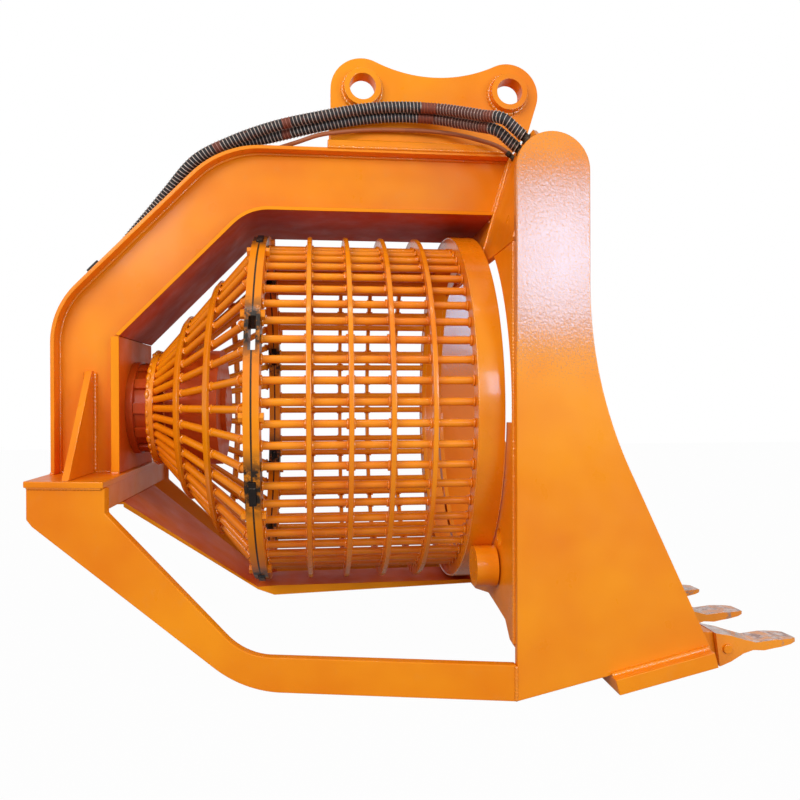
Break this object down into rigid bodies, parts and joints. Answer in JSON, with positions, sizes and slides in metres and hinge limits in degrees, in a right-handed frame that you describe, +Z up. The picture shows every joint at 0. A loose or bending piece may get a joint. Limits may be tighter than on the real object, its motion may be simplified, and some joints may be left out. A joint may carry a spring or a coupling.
{
  "type": "screening bucket",
  "caption": "Excavator rotary screening bucket: a barred, cone-backed drum turns in a C-shaped box frame behind a toothed scoop mouth, with pin ears on top.",
  "frame": {"origin": "axis of the front (arm) pin bores, at mid width", "axes": "+Z up as the bucket stands on its skid legs, +X forward along the drum axis towards the toothed mouth, +Y away from the near side, along the pin bores"},
  "size_m": [2.1583, 1.36, 1.851],
  "materials": {
    "orange_paint": "glossy orange paint over welded steel plate, worn at the tooth tips",
    "dark_steel": "dark bare steel, scratched",
    "hose_rubber": "black hose in a spiral guard",
    "drain_rubber": "reddish brown line"
  },
  "bodies": {
    "frame": {"web_near": "orange_paint", "web_far": "orange_paint", "outer_wrap": "orange_paint", "inner_wrap": "orange_paint", "motor_mount_plate": "orange_paint", "ear_base_plate": "orange_paint", "ear_near": "orange_paint", "ear_far": "orange_paint", "pin_bosses": "orange_paint", "side_plate_near": "orange_paint", "side_plate_far": "orange_paint", "mouth_back_plate": "orange_paint", "mouth_top_plate": "orange_paint", "mouth_floor": "orange_paint", "cutting_lip": "orange_paint", "tooth_adapters": "orange_paint", "teeth": "orange_paint", "tooth_pins": "orange_paint", "skid_leg_near": "orange_paint", "skid_leg_far": "orange_paint", "base_shelf": "orange_paint", "gusset_ribs": "orange_paint", "rear_cross_beam": "orange_paint", "under_beam": "orange_paint", "gearbox_flange": "orange_paint", "bolt_blocks": "orange_paint", "gearbox_housing": "orange_paint", "hydraulic_motor": "dark_steel", "roller_axles": "dark_steel", "hose_unions": "dark_steel", "port_block": "dark_steel", "hose_upper": "hose_rubber", "hose_lower": "hose_rubber", "drain_line": "drain_rubber"},
    "drum": {"drum_bars": "orange_paint", "drum_hoops": "orange_paint", "front_ring": "orange_paint", "flange_ring_front": "orange_paint", "flange_ring_rear": "orange_paint", "flange_bolts": "orange_paint", "splice_blocks": "dark_steel", "cone_bars": "orange_paint", "cone_hoop_front": "orange_paint", "cone_hoop_rear": "orange_paint", "cone_end_ring": "orange_paint", "drive_can": "orange_paint", "drive_lugs": "orange_paint", "drive_cap": "orange_paint"},
    "roller_near": {"roller_near": "orange_paint"},
    "roller_far": {"roller_far": "orange_paint"}
  },
  "joints": [
    {"name": "drum_spin", "type": "hinge", "parent": "frame", "child": "drum", "pos_m": [-0.5, 0, -1], "axis": [1, 0, 0], "continuous": true},
    {"name": "roller_near_spin", "type": "hinge", "parent": "frame", "child": "roller_near", "pos_m": [-0.137, -0.43437, -1.4498], "axis": [1, 0, 0], "continuous": true},
    {"name": "roller_far_spin", "type": "hinge", "parent": "frame", "child": "roller_far", "pos_m": [-0.137, 0.43437, -1.4498], "axis": [1, 0, 0], "continuous": true}
  ],
  "couplings": [
    {"joint": "roller_near_spin", "follows": "drum_spin", "ratio": -9.9649},
    {"joint": "roller_far_spin", "follows": "drum_spin", "ratio": -9.9649}
  ]
}
